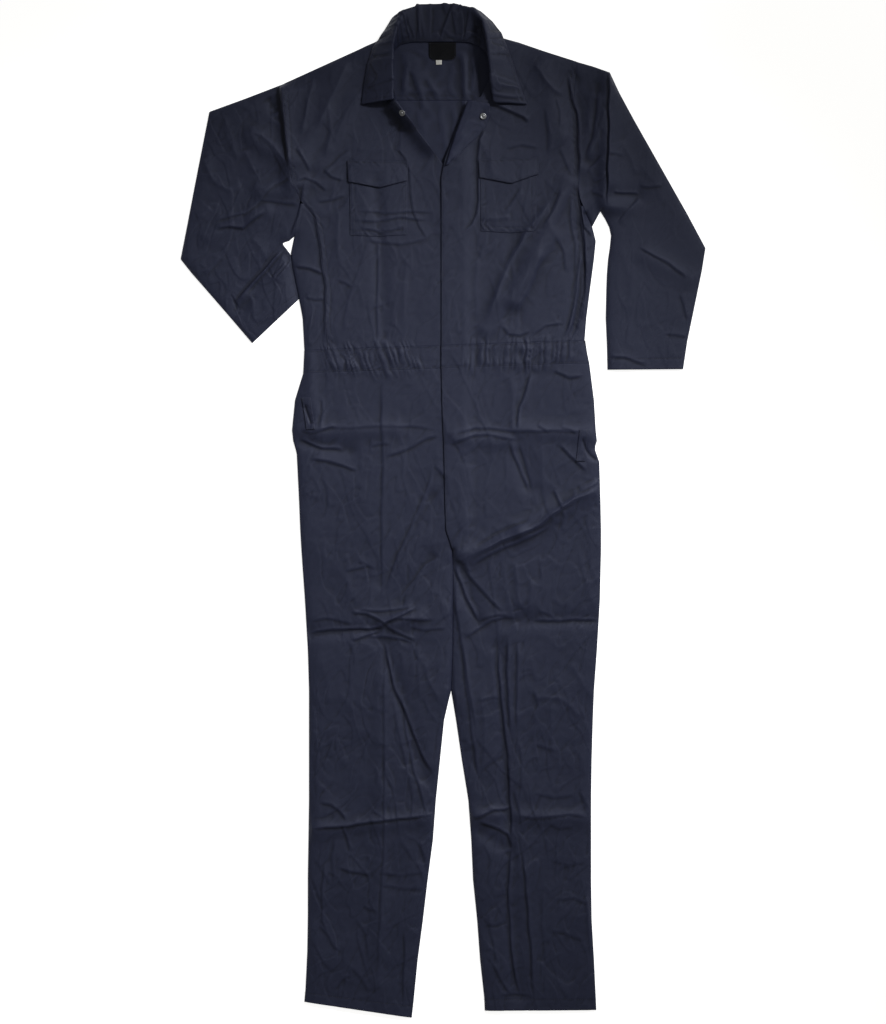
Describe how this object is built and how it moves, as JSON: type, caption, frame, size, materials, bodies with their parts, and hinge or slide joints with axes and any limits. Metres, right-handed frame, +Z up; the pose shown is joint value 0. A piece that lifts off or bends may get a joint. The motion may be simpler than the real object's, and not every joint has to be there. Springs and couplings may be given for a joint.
{
  "type": "boiler suit",
  "caption": "Long-sleeved one-piece work suit with a turned-down collar, covered front opening, flapped chest pockets and a gathered waist, laid out flat.",
  "frame": {"origin": "on the surface that the suit lies on, under the centre of its outline", "axes": "+X towards the wearer's left sleeve, +Y from the leg hems towards the collar, +Z up from the surface through the front of the suit"},
  "size_m": [0.8958, 1.7213, 0.04],
  "materials": {
    "navy_twill": "matt navy cotton and polyester twill, pressed, with a faint sheen",
    "label_satin": "black woven satin, plain",
    "tab_white": "white woven tape, plain",
    "stud_metal": "satin nickel"
  },
  "bodies": {
    "root": {"back_yoke": "navy_twill", "back_body": "navy_twill", "back_waistband": "navy_twill", "back_leg_right": "navy_twill", "back_leg_left": "navy_twill", "back_wrap_right": "navy_twill", "back_wrap_left": "navy_twill", "front_right": "navy_twill", "front_left": "navy_twill", "front_waistband_right": "navy_twill", "front_waistband_left": "navy_twill", "front_leg_right": "navy_twill", "front_leg_left": "navy_twill", "sleeve_right": "navy_twill", "sleeve_left": "navy_twill", "collar": "navy_twill", "front_facing_left": "navy_twill", "chest_pocket_right": "navy_twill", "chest_pocket_left": "navy_twill", "chest_flap_right": "navy_twill", "chest_flap_left": "navy_twill", "side_welt_right": "navy_twill", "side_welt_left": "navy_twill", "neck_label": "label_satin", "size_tab": "tab_white", "stud_left": "stud_metal", "stud_right": "stud_metal"}
  },
  "joints": []
}
